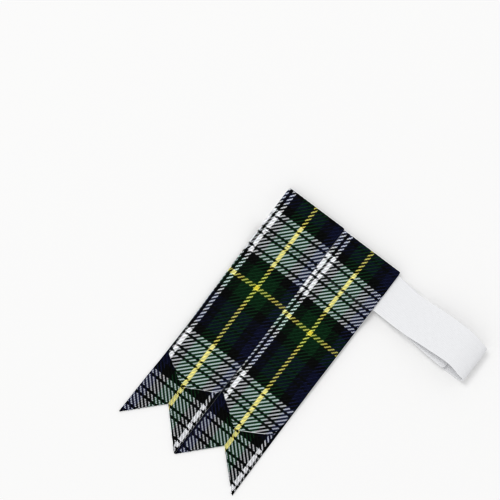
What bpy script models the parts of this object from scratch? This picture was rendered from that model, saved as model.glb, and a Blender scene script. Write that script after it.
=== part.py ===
"""Kilt hose flash: two folded cloth tabs on an elastic garter loop, lying on a flat surface.

The garter runs along X, with its free loop at +X. The tabs hang from it towards -Y.
Every cloth is an open surface at its middle, thickened by Solidify.
"""

import bpy
import numpy as np
from mathutils import Matrix, Vector

# Tabs
TAB_WIDTH = 0.0404
TAB_GAP = 0.0003
TAB_CLOTH = 0.0012
FRONT_LENGTH = 0.1322
POINT_DEPTH = 0.0112
BACK_LENGTH = 0.1661
NOTCH_DEPTH = 0.0218
RIGHT_TAB_DROP = 0.0008
FRONT_SETTLE = 0.0175
BACK_SETTLE = 0.0095

# Garter
GARTER_WIDTH = 0.0254
GARTER_CLOTH = 0.0012
GARTER_PEEP = 0.0005
LOOP_REACH = 0.0690
LOOP_HEIGHT = 0.0110
INNER_END_BACK = 0.0136
OVERLAP = 0.0376
OVERLAP_RISE = 0.0135
END_CORNER = 0.0024

# Fastening pad between the garter's overlapped ends
PAD_LENGTH = 0.0300
PAD_WIDTH = 0.0190
PAD_THICKNESS = 0.0012
PAD_CORNER = 0.0015

# Gap kept between pieces that touch
CLEARANCE = 0.0003

# Places along X, from the left tab's left edge
TAB_PITCH = TAB_WIDTH + TAB_GAP
TABS_RIGHT = TAB_PITCH + TAB_WIDTH
LOOP_END = TABS_RIGHT + LOOP_REACH
LOOP_RADIUS = (LOOP_HEIGHT - GARTER_CLOTH) / 2
LOOP_CENTRE = LOOP_END - GARTER_CLOTH / 2 - LOOP_RADIUS
FREE_START = TABS_RIGHT + 0.035 * TAB_WIDTH
INNER_END = LOOP_END - INNER_END_BACK
OUTER_END = INNER_END - OVERLAP
RISE_END = OUTER_END - GARTER_CLOTH

# Heights of the middle of each layer, in the order in which they are stacked
LOW_PLY = GARTER_CLOTH / 2
BACK_OVER = GARTER_CLOTH + CLEARANCE + TAB_CLOTH / 2
HIGH_PLY = BACK_OVER + TAB_CLOTH / 2 + CLEARANCE + GARTER_CLOTH / 2
FRONT_OVER = HIGH_PLY + GARTER_CLOTH / 2 + CLEARANCE + TAB_CLOTH / 2
BACK_DOWN = TAB_CLOTH / 2
FRONT_DOWN = TAB_CLOTH + CLEARANCE + TAB_CLOTH / 2
PAD_MIDDLE = GARTER_CLOTH + CLEARANCE + PAD_THICKNESS / 2
INNER_PLY = PAD_MIDDLE + PAD_THICKNESS / 2 + CLEARANCE + GARTER_CLOTH / 2
LOOP_TOP = LOOP_HEIGHT - GARTER_CLOTH / 2

# Folds: the tabs' round the garter's edge, and the garter's round the back layer's edge
TAB_FOLD = (FRONT_OVER - BACK_OVER) / 2
GARTER_FOLD = (HIGH_PLY - LOW_PLY) / 2
FOLD_INSIDE = TAB_FOLD - TAB_CLOTH / 2
FOLD_ROOM = np.sqrt(max(FOLD_INSIDE**2 - (GARTER_CLOTH / 2) ** 2, 0))
GARTER_SEAT = TAB_FOLD + TAB_CLOTH / 2 - FOLD_ROOM + CLEARANCE
UNDER_DRIFT = 0.019
SETTLE_START = GARTER_SEAT + RIGHT_TAB_DROP + (1 + UNDER_DRIFT) * GARTER_WIDTH + CLEARANCE

# The free loop's upper ply. place: share of the way from the tabs to the far fold.
# drift and width: shares of the garter's width. rise: share of the climb to the loop's top.
UPPER_RUN = [
    dict(place=0.00, drift=0.019, width=1.000, rise=0.000),
    dict(place=0.10, drift=0.040, width=0.970, rise=0.070),
    dict(place=0.25, drift=0.063, width=0.942, rise=0.245),
    dict(place=0.38, drift=0.056, width=0.947, rise=0.410),
    dict(place=0.59, drift=0.019, width=0.945, rise=0.680),
    dict(place=0.85, drift=0.002, width=0.912, rise=0.940),
    dict(place=0.97, drift=0.042, width=0.918, rise=0.995),
    dict(place=1.00, drift=0.072, width=0.915, rise=1.000),
]

# The free loop's lower plies, with the same columns
LOWER_RUN = [
    dict(place=0.00, drift=0.019, width=1.000),
    dict(place=0.19, drift=0.039, width=0.965),
    dict(place=0.42, drift=0.079, width=0.930),
    dict(place=0.62, drift=0.132, width=0.925),
    dict(place=0.83, drift=0.167, width=0.912),
    dict(place=1.00, drift=0.172, width=0.915),
]

# Edges of each layer. place: share of the layer's length, from the fold.
# left and right: how far that edge lies to the right of the tab's own, in shares of its width.
EDGES = {
    ("left", "front"): [
        dict(place=0.00, left=0.000, right=0.000),
        dict(place=0.45, left=0.004, right=-0.003),
        dict(place=0.70, left=0.010, right=-0.009),
        dict(place=1.00, left=0.034, right=-0.022),
    ],
    ("left", "back"): [
        dict(place=0.00, left=0.028, right=-0.004),
        dict(place=0.20, left=0.028, right=-0.004),
        dict(place=0.73, left=0.001, right=-0.009),
        dict(place=0.83, left=-0.017, right=-0.010),
        dict(place=1.00, left=-0.034, right=-0.010),
    ],
    ("right", "front"): [
        dict(place=0.00, left=0.004, right=0.025),
        dict(place=0.45, left=-0.001, right=0.016),
        dict(place=0.72, left=-0.003, right=0.003),
        dict(place=0.84, left=0.004, right=-0.012),
        dict(place=1.00, left=0.040, right=-0.082),
    ],
    ("right", "back"): [
        dict(place=0.00, left=-0.004, right=0.012),
        dict(place=0.60, left=-0.008, right=0.012),
        dict(place=1.00, left=-0.010, right=0.018),
    ],
}

# Ends of each layer: how far the left corner, the apex and the right corner stop short of the
# layer's length, in shares of its point's or notch's depth, and the apex's place across it.
ENDS = {
    ("left", "front"): dict(left=1.05, apex=0.00, right=0.95, across=0.486),
    ("left", "back"): dict(left=0.01, apex=0.98, right=-0.01, across=0.496),
    ("right", "front"): dict(left=1.15, apex=-0.06, right=0.93, across=0.500),
    ("right", "back"): dict(left=0.03, apex=1.02, right=0.06, across=0.495),
}
LAYER_LENGTH = {"front": FRONT_LENGTH, "back": BACK_LENGTH}
LAYER_DEPTH = {"front": POINT_DEPTH, "back": NOTCH_DEPTH}

# Facets
HALF_COLUMNS = 4
FOLD_STEPS = 8
LOOP_STEPS = 14


def through(table, column, place):
    """A smooth curve through one column of a table, which never overshoots its rows."""
    places = np.array([row["place"] for row in table])
    values = np.array([row[column] for row in table])
    slopes = np.diff(values) / np.diff(places)
    tangents = np.concatenate([slopes[:1], np.zeros(len(slopes) - 1), slopes[-1:]])
    same_way = slopes[:-1] * slopes[1:] > 0
    both = np.where(same_way, slopes[:-1] + slopes[1:], 1)
    tangents[1:-1] = np.where(same_way, 2 * slopes[:-1] * slopes[1:] / both, 0)
    place = np.clip(place, places[0], places[-1])
    index = np.clip(np.searchsorted(places, place) - 1, 0, len(slopes) - 1)
    step = places[index + 1] - places[index]
    t = (place - places[index]) / step
    return (
        values[index] * (1 + 2 * t) * (1 - t) ** 2
        + values[index + 1] * (3 - 2 * t) * t**2
        + step * tangents[index] * t * (1 - t) ** 2
        - step * tangents[index + 1] * t**2 * (1 - t)
    )


def eased(start, stop, x):
    """0 up to start, 1 from stop on, and a smooth rise between them."""
    share = np.clip((x - start) / (stop - start), 0, 1)
    return share * share * (3 - 2 * share)


def runs(*stops_and_steps):
    """Places from the first stop to the last, with so many even steps up to each later stop."""
    places = [stops_and_steps[0]]
    for steps, stop in zip(stops_and_steps[1::2], stops_and_steps[2::2]):
        places.extend(np.linspace(places[-1], stop, steps + 1)[1:])
    return np.array(places)


def sheet(name, grid, thickness, material, collection):
    """A closed cloth whose middle surface is a grid of points, rows by columns by 3."""
    rows, columns = grid.shape[:2]
    corner = np.arange((rows - 1) * columns).reshape(rows - 1, columns)[:, :-1].ravel()
    faces = np.stack([corner, corner + 1, corner + columns + 1, corner + columns], axis=1)
    mesh = bpy.data.meshes.new(name)
    mesh.from_pydata(grid.reshape(-1, 3).tolist(), [], faces.tolist())
    mesh.materials.append(material)
    mesh.shade_smooth()
    obj = bpy.data.objects.new(name, mesh)
    collection.objects.link(obj)
    solidify = obj.modifiers.new("Thickness", "SOLIDIFY")
    solidify.thickness = thickness
    solidify.offset = 0
    solidify.use_even_offset = True
    return obj


def fabric(name, colour, roughness):
    """A plain cloth material."""
    material = bpy.data.materials.new(name)
    material.use_nodes = True
    shader = material.node_tree.nodes["Principled BSDF"]
    shader.inputs["Base Color"].default_value = (*colour, 1)
    shader.inputs["Roughness"].default_value = roughness
    shader.inputs["Metallic"].default_value = 0
    return material


def layer_points(side, layer, down, across):
    """X and Y of one layer of a tab, from its share down to its end and its share across."""
    end = ENDS[side, layer]
    length = LAYER_LENGTH[layer]
    short = np.interp(across, [0, 0.5, 1], [end["left"], end["apex"], end["right"]])
    depth = down * (length - short * LAYER_DEPTH[layer] - TAB_FOLD - TAB_CLOTH / 2)
    reach = depth + TAB_FOLD + TAB_CLOTH / 2
    left = TAB_WIDTH * through(EDGES[side, layer], "left", depth / length)
    right = TAB_WIDTH * (1 + through(EDGES[side, layer], "right", depth / length))
    share = np.interp(across, [0, 0.5, 1], [0, end["across"], 1])
    start = 0 if side == "left" else TAB_PITCH
    drop = 0 if side == "left" else RIGHT_TAB_DROP
    return start + left + share * (right - left), -drop - reach


def layer_height(layer, y):
    """The layer's middle height: over the garter, then settling on what lies below it."""
    if layer == "front":
        return FRONT_OVER + (FRONT_DOWN - FRONT_OVER) * eased(0, FRONT_SETTLE, -y - SETTLE_START)
    return BACK_OVER + (BACK_DOWN - BACK_OVER) * eased(0, BACK_SETTLE, -y - SETTLE_START)


def tab_grid(side):
    """A tab's middle surface: the front layer, the top fold round the garter, the back layer."""
    across = np.linspace(0, 1, 2 * HALF_COLUMNS + 1)
    layers = {}
    for layer, settle in (("front", FRONT_SETTLE), ("back", BACK_SETTLE)):
        length = LAYER_LENGTH[layer]
        flat_end = SETTLE_START / length
        settled = (SETTLE_START + settle) / length
        down = runs(0, 3, flat_end, 7, settled, 9, 1)
        down, columns = np.meshgrid(down, across, indexing="ij")
        x, y = layer_points(side, layer, down, columns)
        layers[layer] = np.stack([x, y, layer_height(layer, y)], axis=-1)
    front, back = layers["front"][::-1], layers["back"]
    turn = np.pi * np.linspace(0, 1, FOLD_STEPS + 1)[1:-1, None]
    share = turn / np.pi
    fold_x = (1 - share) * front[-1, :, 0] + share * back[0, :, 0]
    fold_y = back[0, :, 1] + TAB_FOLD * np.sin(turn)
    fold_z = BACK_OVER + TAB_FOLD * (1 + np.cos(turn)) + 0 * fold_x
    fold = np.stack([fold_x, fold_y, fold_z], axis=-1)
    return np.concatenate([front, fold, back])


def free_share(x):
    return (x - FREE_START) / (LOOP_CENTRE - FREE_START)


def garter_line(table, x):
    """The garter's middle line and width at x, on the upper or the lower run."""
    place = free_share(x)
    start = -GARTER_PEEP
    under = UNDER_DRIFT * np.clip((x - start) / (FREE_START - start), 0, 1)
    drift = np.where(x < FREE_START, under, through(table, "drift", place))
    width = GARTER_WIDTH * through(table, "width", place)
    drop = RIGHT_TAB_DROP * np.clip(x / TAB_PITCH, 0, 1)
    seat = GARTER_SEAT + drop + (0.5 + drift) * GARTER_WIDTH
    return -seat, width


def lower_height(x):
    """The lower ply lies on the surface, and climbs over the pad near its inner end."""
    return LOW_PLY + (INNER_PLY - LOW_PLY) * eased(RISE_END - OVERLAP_RISE, RISE_END, x)


def upper_height(x):
    """The upper ply climbs from the tabs to the loop's top, clear of the ply below it."""
    climb = HIGH_PLY + (LOOP_TOP - HIGH_PLY) * through(UPPER_RUN, "rise", free_share(x))
    return np.maximum(climb, lower_height(x) + GARTER_CLOTH + CLEARANCE)


def garter_columns():
    """Places across the garter, in shares of its width, closer at its rounded end corners."""
    corner = END_CORNER / GARTER_WIDTH
    half = [0.5, 0.5 - 0.1 * corner, 0.5 - 0.4 * corner, 0.5 - corner]
    return np.array([-share for share in half] + [0] + half[::-1])


def garter_grid():
    """The garter's middle surface from its outer end, round the loop, to its inner end."""
    left_centre = -GARTER_PEEP + GARTER_CLOTH / 2 + GARTER_FOLD
    zone = 2 * END_CORNER
    outer_x = runs(OUTER_END, 3, OUTER_END + zone, 8, LOOP_CENTRE)
    upper_x = runs(LOOP_CENTRE, 14, FREE_START, 4, left_centre)
    inner_x = runs(
        left_centre, 5, RISE_END - OVERLAP_RISE, 7, RISE_END, 5, INNER_END - zone, 3, INNER_END
    )
    outer_y, outer_width = garter_line(LOWER_RUN, outer_x)
    upper_y, upper_width = garter_line(UPPER_RUN, upper_x)
    inner_y, inner_width = garter_line(LOWER_RUN, inner_x)
    turn = np.pi * np.linspace(0, 1, LOOP_STEPS + 1)[1:-1]
    share = (1 - np.cos(turn)) / 2
    far = np.stack(
        [
            LOOP_CENTRE + LOOP_RADIUS * np.sin(turn),
            (1 - share) * outer_y[-1] + share * upper_y[0],
            LOW_PLY + LOOP_RADIUS * (1 - np.cos(turn)),
            (1 - share) * outer_width[-1] + share * upper_width[0],
        ]
    )
    turn = np.pi * np.linspace(0, 1, FOLD_STEPS + 1)[1:-1]
    near = np.stack(
        [
            left_centre - GARTER_FOLD * np.sin(turn),
            upper_y[-1] + 0 * turn,
            LOW_PLY + GARTER_FOLD * (1 + np.cos(turn)),
            upper_width[-1] + 0 * turn,
        ]
    )
    x, y, z, width = np.concatenate(
        [
            np.stack([outer_x, outer_y, LOW_PLY + 0 * outer_x, outer_width]),
            far,
            np.stack([upper_x, upper_y, upper_height(upper_x), upper_width]),
            near,
            np.stack([inner_x, inner_y, lower_height(inner_x), inner_width]),
        ],
        axis=1,
    )[:, :, None]
    across = garter_columns()[None, :]
    inset = np.clip(END_CORNER - (0.5 - abs(across)) * GARTER_WIDTH, 0, END_CORNER)
    rounding = END_CORNER - np.sqrt(END_CORNER**2 - inset**2)
    grid = np.stack([x + 0 * across, y - across * width, z + 0 * across], axis=-1)
    near_outer = np.clip(1 - (outer_x - OUTER_END) / zone, 0, 1)[:, None]
    near_inner = np.clip(1 - (INNER_END - inner_x) / zone, 0, 1)[:, None]
    grid[: len(outer_x), :, 0] += near_outer * rounding
    grid[-len(inner_x) :, :, 0] -= near_inner * rounding
    return grid[:, ::-1]


def fastening_pad(material, collection):
    """The hook-and-loop pad, a rounded plate turned to follow the garter between its ends."""
    centre_x = (INNER_END + OUTER_END) / 2
    near, far = centre_x - PAD_LENGTH / 2, centre_x + PAD_LENGTH / 2
    near_y, centre_y, far_y = garter_line(LOWER_RUN, np.array([near, centre_x, far]))[0]
    bpy.ops.mesh.primitive_cube_add(size=1)
    obj = bpy.context.object
    obj.name = obj.data.name = "fastening_pad"
    obj.data.transform(Matrix.Diagonal((PAD_LENGTH, PAD_WIDTH, PAD_THICKNESS, 1)))
    turn = Matrix.Rotation(np.arctan2(far_y - near_y, PAD_LENGTH), 4, "Z")
    obj.data.transform(Matrix.Translation((centre_x, centre_y, PAD_MIDDLE)) @ turn)
    obj.data.materials.append(material)
    bevel = obj.modifiers.new("Corners", "BEVEL")
    bevel.limit_method = "WEIGHT"
    bevel.width = PAD_CORNER
    bevel.segments = 3
    weights = obj.data.attributes.new("bevel_weight_edge", "FLOAT", "EDGE")
    for edge in obj.data.edges:
        ends = [obj.data.vertices[index].co for index in edge.vertices]
        weights.data[edge.index].value = abs(ends[0].z - ends[1].z) > PAD_THICKNESS / 2
    for other in list(obj.users_collection):
        other.objects.unlink(obj)
    collection.objects.link(obj)
    return obj


def stand_at_origin(objects):
    """Moves the meshes together, so that the origin is under the middle of the whole."""
    bpy.context.view_layer.update()
    graph = bpy.context.evaluated_depsgraph_get()
    corners = []
    for obj in objects:
        shown = obj.evaluated_get(graph)
        corners.extend(Vector(corner) for corner in shown.bound_box)
    low = Vector(map(min, zip(*corners)))
    high = Vector(map(max, zip(*corners)))
    middle = Vector(((low.x + high.x) / 2, (low.y + high.y) / 2, 0))
    for obj in objects:
        obj.data.transform(Matrix.Translation(-middle))


def main():
    for obj in list(bpy.data.objects):
        bpy.data.objects.remove(obj)
    collection = bpy.data.collections.new("kilt_flash")
    bpy.context.scene.collection.children.link(collection)
    tartan = fabric("Tartan wool", (0.020, 0.035, 0.030), 0.90)
    elastic = fabric("White elastic", (0.80, 0.80, 0.82), 0.75)
    hooks = fabric("White hook tape", (0.72, 0.72, 0.72), 0.85)
    objects = [
        sheet("left_tab", tab_grid("left"), TAB_CLOTH, tartan, collection),
        sheet("right_tab", tab_grid("right"), TAB_CLOTH, tartan, collection),
        sheet("garter_band", garter_grid(), GARTER_CLOTH, elastic, collection),
        fastening_pad(hooks, collection),
    ]
    stand_at_origin(objects)


main()
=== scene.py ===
# %% [markdown]
# # A kilt flash: two tartan tabs on an elastic garter
#
# A flash is worn at the top of a kilt hose sock. The elastic garter goes round the leg under the
# turned-down top of the sock, and two tabs of tartan hang from it and show below the turnover.
# Here it lies flat on a pale table, seen from straight above.
#
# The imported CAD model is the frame. It is loaded first, and every piece below is worked out in
# its coordinates, in metres, so that each one lies where its plain solid does.

import bpy
import numpy as np
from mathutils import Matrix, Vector


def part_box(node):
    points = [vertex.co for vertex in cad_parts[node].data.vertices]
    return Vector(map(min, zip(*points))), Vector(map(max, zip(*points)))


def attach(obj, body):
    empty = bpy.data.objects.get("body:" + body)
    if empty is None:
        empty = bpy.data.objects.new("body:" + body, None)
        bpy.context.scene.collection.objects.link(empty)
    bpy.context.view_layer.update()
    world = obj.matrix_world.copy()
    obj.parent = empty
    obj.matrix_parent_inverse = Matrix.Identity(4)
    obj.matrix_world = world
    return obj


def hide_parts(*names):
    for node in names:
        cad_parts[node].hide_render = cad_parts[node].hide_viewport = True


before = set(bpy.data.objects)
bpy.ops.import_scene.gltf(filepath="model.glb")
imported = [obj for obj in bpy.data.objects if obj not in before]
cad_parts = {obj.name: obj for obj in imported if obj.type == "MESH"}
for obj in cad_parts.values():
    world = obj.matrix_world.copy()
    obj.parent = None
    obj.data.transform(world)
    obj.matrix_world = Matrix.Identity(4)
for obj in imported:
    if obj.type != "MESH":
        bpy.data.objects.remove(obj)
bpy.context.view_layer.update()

# %% [markdown]
# ## The sizes of the real thing
#
# The tabs are 40.4 mm wide and the elastic is an inch wide. The shapes below are worked out from
# the left tab's top left corner, with X along the garter and Y down the tabs as a minus, so the
# first thing to find is where that corner is in the frame. The boxes of the CAD pieces tell.

# %% Sizes and home corner
TAB_WIDTH = 0.0404
TAB_PITCH = 0.0407
TAB_CLOTH = 0.0012
FRONT_LENGTH = 0.1322
POINT_DEPTH = 0.0112
BACK_LENGTH = 0.1661
NOTCH_DEPTH = 0.0218
RIGHT_TAB_DROP = 0.0008
FRONT_SETTLE = 0.0175
BACK_SETTLE = 0.0095
GARTER_WIDTH = 0.0254
GARTER_CLOTH = 0.0012
GARTER_PEEP = 0.0005
CLEARANCE = 0.0003

HOME = np.array([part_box("garter_band")[0].x + GARTER_PEEP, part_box("left_tab")[1].y, 0])
print("Home corner, mm:", (1000 * HOME).round(2))

# %% [markdown]
# ## Smooth curves through a few measured places
#
# Cloth edges aren't straight: they drift by a millimetre or so. A short table of places along an
# edge, read off the photograph as lengths, says how. A curve through them must not swing past a
# row, as a plain spline would, so each row's slope is the harmonic mean of its neighbours'.

# %% Curves


def table(names, *rows):
    """Rows of numbers under column names, such as "place left right"."""
    return [dict(zip(names.split(), row)) for row in rows]


def through(rows, column, place):
    """A smooth curve through one column of a table: cubic pieces whose slope at each row is the
    harmonic mean of the slopes on its two sides, and nothing where those differ in sign."""
    places = np.array([row["place"] for row in rows])
    values = np.array([row[column] for row in rows])
    slopes = np.diff(values) / np.diff(places)
    tangents = np.concatenate([slopes[:1], np.zeros(len(slopes) - 1), slopes[-1:]])
    same_way = slopes[:-1] * slopes[1:] > 0
    both = np.where(same_way, slopes[:-1] + slopes[1:], 1)
    tangents[1:-1] = np.where(same_way, 2 * slopes[:-1] * slopes[1:] / both, 0)
    place = np.clip(place, places[0], places[-1])
    index = np.clip(np.searchsorted(places, place) - 1, 0, len(slopes) - 1)
    step = places[index + 1] - places[index]
    t = (place - places[index]) / step
    return (
        values[index] * (1 + 2 * t) * (1 - t) ** 2
        + values[index + 1] * (3 - 2 * t) * t**2
        + step * tangents[index] * t * (1 - t) ** 2
        - step * tangents[index + 1] * t**2 * (1 - t)
    )


def eased(start, stop, x):
    """0 up to start, 1 from stop on, and between them 3s^2 - 2s^3 of the share s."""
    share = np.clip((x - start) / (stop - start), 0, 1)
    return share * share * (3 - 2 * share)


def straight(places, values, x):
    """Straight lines through the places, which run on past both ends at the end slopes."""
    places, values = np.array(places, float), np.array(values, float)
    index = np.clip(np.searchsorted(places, x) - 1, 0, len(places) - 2)
    slope = (values[index + 1] - values[index]) / (places[index + 1] - places[index])
    return values[index] + slope * (x - places[index])


def paces(*stops_and_steps):
    """Places from the first stop to the last, with so many even steps up to each later stop."""
    places = [stops_and_steps[0]]
    for steps, stop in zip(stops_and_steps[1::2], stops_and_steps[2::2]):
        places.extend(np.linspace(places[-1], stop, steps + 1)[1:])
    return np.array(places)


# %% [markdown]
# ## How high each layer lies
#
# The stack at the top of a tab is, from the table up: the garter's lower ply, the tab's back
# layer, the garter's upper ply, and the tab's front layer. The front and the back are joined by
# a fold round the garter's top edge. Below the garter each layer settles onto what is under it.

# %% Heights of the layers
LOW_PLY = GARTER_CLOTH / 2
BACK_OVER = GARTER_CLOTH + CLEARANCE + TAB_CLOTH / 2
HIGH_PLY = BACK_OVER + TAB_CLOTH / 2 + CLEARANCE + GARTER_CLOTH / 2
FRONT_OVER = HIGH_PLY + GARTER_CLOTH / 2 + CLEARANCE + TAB_CLOTH / 2
BACK_DOWN = TAB_CLOTH / 2
FRONT_DOWN = TAB_CLOTH + CLEARANCE + TAB_CLOTH / 2
TAB_FOLD = (FRONT_OVER - BACK_OVER) / 2
GARTER_FOLD = (HIGH_PLY - LOW_PLY) / 2
FOLD_ROOM = np.sqrt(max((TAB_FOLD - TAB_CLOTH / 2) ** 2 - (GARTER_CLOTH / 2) ** 2, 0))
GARTER_SEAT = TAB_FOLD + TAB_CLOTH / 2 - FOLD_ROOM + CLEARANCE
UNDER_DRIFT = 0.019
SETTLE_START = GARTER_SEAT + RIGHT_TAB_DROP + (1 + UNDER_DRIFT) * GARTER_WIDTH + CLEARANCE
LAYER_FALL = {
    "front": (FRONT_OVER, FRONT_DOWN, FRONT_SETTLE),
    "back": (BACK_OVER, BACK_DOWN, BACK_SETTLE),
}


def layer_height(layer, y):
    """The middle height of a tab's layer: level over the garter, then an S down to its rest."""
    over, down, settle = LAYER_FALL[layer]
    return over + (down - over) * eased(0, settle, -y - SETTLE_START)


print("Fold radius, mm:", round(1000 * TAB_FOLD, 2))

# %% [markdown]
# ## The outline of the tabs
#
# The front layers end in a point, the back layers in a swallowtail. EDGES says how far each side
# edge drifts to the right of a straight one, in shares of the tab's width, and ENDS how far the
# two corners and the apex between them stop short of the layer's length, in shares of the depth
# of its point or notch.

# %% Outline tables
EDGES = {
    ("left", "front"): table(
        "place left right",
        (0.00, 0.000, 0.000), (0.45, 0.004, -0.003), (0.70, 0.010, -0.009), (1.00, 0.034, -0.022),
    ),
    ("left", "back"): table(
        "place left right",
        (0.00, 0.028, -0.004), (0.20, 0.028, -0.004), (0.73, 0.001, -0.015),
        (0.83, -0.017, -0.018), (1.00, -0.034, -0.018),
    ),
    ("right", "front"): table(
        "place left right",
        (0.00, 0.004, 0.025), (0.45, -0.001, 0.016), (0.72, -0.003, 0.003),
        (0.84, 0.004, -0.012), (1.00, 0.040, -0.082),
    ),
    ("right", "back"): table(
        "place left right",
        (0.00, -0.004, 0.012), (0.73, -0.014, 0.012), (0.83, -0.018, 0.014), (1.00, -0.018, 0.018),
    ),
}
ENDS = {
    ("left", "front"): dict(left=1.05, apex=0.00, right=0.95, across=0.486),
    ("left", "back"): dict(left=0.01, apex=0.98, right=-0.01, across=0.496),
    ("right", "front"): dict(left=1.15, apex=-0.06, right=0.93, across=0.500),
    ("right", "back"): dict(left=0.03, apex=1.02, right=0.06, across=0.495),
}
LAYER_LENGTH = {"front": FRONT_LENGTH, "back": BACK_LENGTH}
LAYER_DEPTH = {"front": POINT_DEPTH, "back": NOTCH_DEPTH}
TAB_START = {"left": 0.0, "right": TAB_PITCH}
TAB_DROP = {"left": 0.0, "right": RIGHT_TAB_DROP}


def layer_points(side, layer, down, across):
    """X and Y of a layer, from the share down to its end and the share across. Each row of the
    cloth is bent like the end, more so the nearer it lies to it."""
    end, length = ENDS[side, layer], LAYER_LENGTH[layer]
    short = np.interp(across, [0, 0.5, 1], [end["left"], end["apex"], end["right"]])
    top = TAB_FOLD + TAB_CLOTH / 2
    depth = down * (length - short * LAYER_DEPTH[layer] - top)
    left = TAB_WIDTH * through(EDGES[side, layer], "left", depth / length)
    right = TAB_WIDTH * (1 + through(EDGES[side, layer], "right", depth / length))
    share = np.interp(across, [0, 0.5, 1], [0, end["across"], 1])
    return TAB_START[side] + left + share * (right - left), -TAB_DROP[side] - depth - top


print("Layers, mm:", {name: round(1000 * length, 1) for name, length in LAYER_LENGTH.items()})

# %% [markdown]
# ## Where each thread of the tartan runs
#
# A tartan is one list of stripes, the sett, used for the warp threads that run down the cloth
# and again for the weft threads that run across it. If the mesh knows the number of the warp
# thread and of the weft thread at each of its points, the material can work out the rest. So the
# UV map of a tab doesn't hold places on a picture: it counts threads.
#
# The woven lines aren't quite square to the tab. WARP_LINES gives how far the white and the
# yellow stripe lie from the tab's left side at a few places down it, and WEFT_LINES how far
# below the top some numbered weft threads lie at the left, the middle and the right, all in
# millimetres. The back layer is a second piece of the same cloth that is turned over sideways,
# so its stripes come in the other order and its twill leans the other way.

# %% Thread places
WHITE_STRIPE, YELLOW_STRIPE = 14.0, 38.0
WARP_LINES = {
    ("left", "front"): table(
        "place white yellow",
        (0, 4.23, 20.08), (12, 4.20, 20.06), (24, 3.87, 20.05), (36, 3.40, 19.82),
        (50, 3.91, 20.10), (57, 3.49, 20.01), (69, 3.51, 19.85), (79, 3.38, 19.65),
        (92, 3.55, 19.78), (104, 2.99, 19.94), (112, 2.86, 19.92), (120, 3.05, 19.89),
        (132, 3.00, 19.86),
    ),
    ("right", "front"): table(
        "place white yellow",
        (0, 5.66, 21.40), (12, 5.39, 21.00), (24, 5.25, 20.74), (36, 4.37, 20.28),
        (50, 4.49, 20.19), (57, 4.27, 20.42), (69, 4.27, 20.32), (79, 4.16, 20.14),
        (92, 3.87, 19.89), (104, 3.22, 19.85), (112, 2.88, 19.85), (120, 2.92, 19.86),
        (132, 2.87, 19.88),
    ),
    ("left", "back"): table(
        "place white yellow",
        (132, 36.91, 20.29), (137, 37.03, 20.30), (146, 37.12, 20.31), (154, 37.65, 20.39),
        (166, 37.82, 20.50),
    ),
    ("right", "back"): table(
        "place white yellow",
        (132, 38.25, 21.00), (140, 38.21, 21.05), (154, 38.42, 21.18), (166, 38.60, 21.30),
    ),
}
WEFT_LINES = {
    ("left", "front"): table(
        "thread left middle right",
        (96, 14.93, 14.81, 14.87), (158, 59.94, 59.00, 59.35), (216, 101.60, 101.30, 101.25),
    ),
    ("right", "front"): table(
        "thread left middle right",
        (96, 17.05, 17.82, 18.59), (158, 60.53, 61.36, 62.07), (216, 102.50, 103.55, 104.25),
    ),
    ("left", "back"): table(
        "thread left middle right",
        (216, 132.93, 133.05, 132.87), (256, 162.60, 162.70, 162.50),
    ),
    ("right", "back"): table(
        "thread left middle right",
        (216, 133.64, 134.05, 134.10), (256, 163.00, 163.40, 163.40),
    ),
}


def thread_counts(side, layer, x, y):
    """The warp and the weft thread at a point of the layer. Warp: a straight line through the
    white and the yellow stripe. Weft: the counts at the left, middle and right of the tab, and a
    parabola through those three."""
    across, down = 1000 * (x - TAB_START[side]), -1000 * y
    white = through(WARP_LINES[side, layer], "white", down)
    yellow = through(WARP_LINES[side, layer], "yellow", down)
    warp = WHITE_STRIPE + (YELLOW_STRIPE - WHITE_STRIPE) * (across - white) / (yellow - white)
    rows = WEFT_LINES[side, layer]
    threads = [row["thread"] for row in rows]
    left, middle, right = (
        straight([row[part] for row in rows], threads, down) for part in ("left", "middle", "right")
    )
    s = across / (1000 * TAB_WIDTH)
    weft = left * (1 - s) * (1 - 2 * s) + middle * 4 * s * (1 - s) + right * s * (2 * s - 1)
    return np.stack([warp, weft], axis=-1)


top_row = WARP_LINES["left", "front"][0]
warp_pitch = (top_row["yellow"] - top_row["white"]) / (YELLOW_STRIPE - WHITE_STRIPE)
print("Warp pitch at the top of the left tab, mm:", round(warp_pitch, 3))

# %% [markdown]
# ## A closed sheet of cloth
#
# Every cloth here starts as its middle surface, a grid of points. Its normal at each point is
# the cross product of the steps along the row and down the column. The outer face is the middle
# plus half the thickness along the normal and the inner face is the middle less it. A rim closes
# the two with one more ring of points, pushed out a little so that the edge is round.

# %% Cloth mesh
TINY = 1e-12


def unit(vectors):
    """The vectors, each divided by its length."""
    return vectors / np.maximum(np.linalg.norm(vectors, axis=-1, keepdims=True), TINY)


def grid_normals(middle):
    """Unit normals of a grid of points: the step across a row, crossed with the step between
    rows. Inside the grid a step is half the way from the point before to the point after."""
    return unit(np.cross(np.gradient(middle, axis=1), np.gradient(middle, axis=0)))


def placed(name, data):
    """A new object in the scene for a mesh, a lamp or a camera."""
    obj = bpy.data.objects.new(name, data)
    bpy.context.scene.collection.objects.link(obj)
    return obj


def make_piece(name, points, faces, materials, smooth=True):
    """An object whose points are given from the home corner. It rides on the root body."""
    mesh = bpy.data.meshes.new(name)
    mesh.from_pydata((points + HOME).tolist(), [], faces)
    for material in materials:
        mesh.materials.append(material)
    if smooth:
        mesh.shade_smooth()
    obj = placed(name, mesh)
    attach(obj, "root")
    return obj


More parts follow.
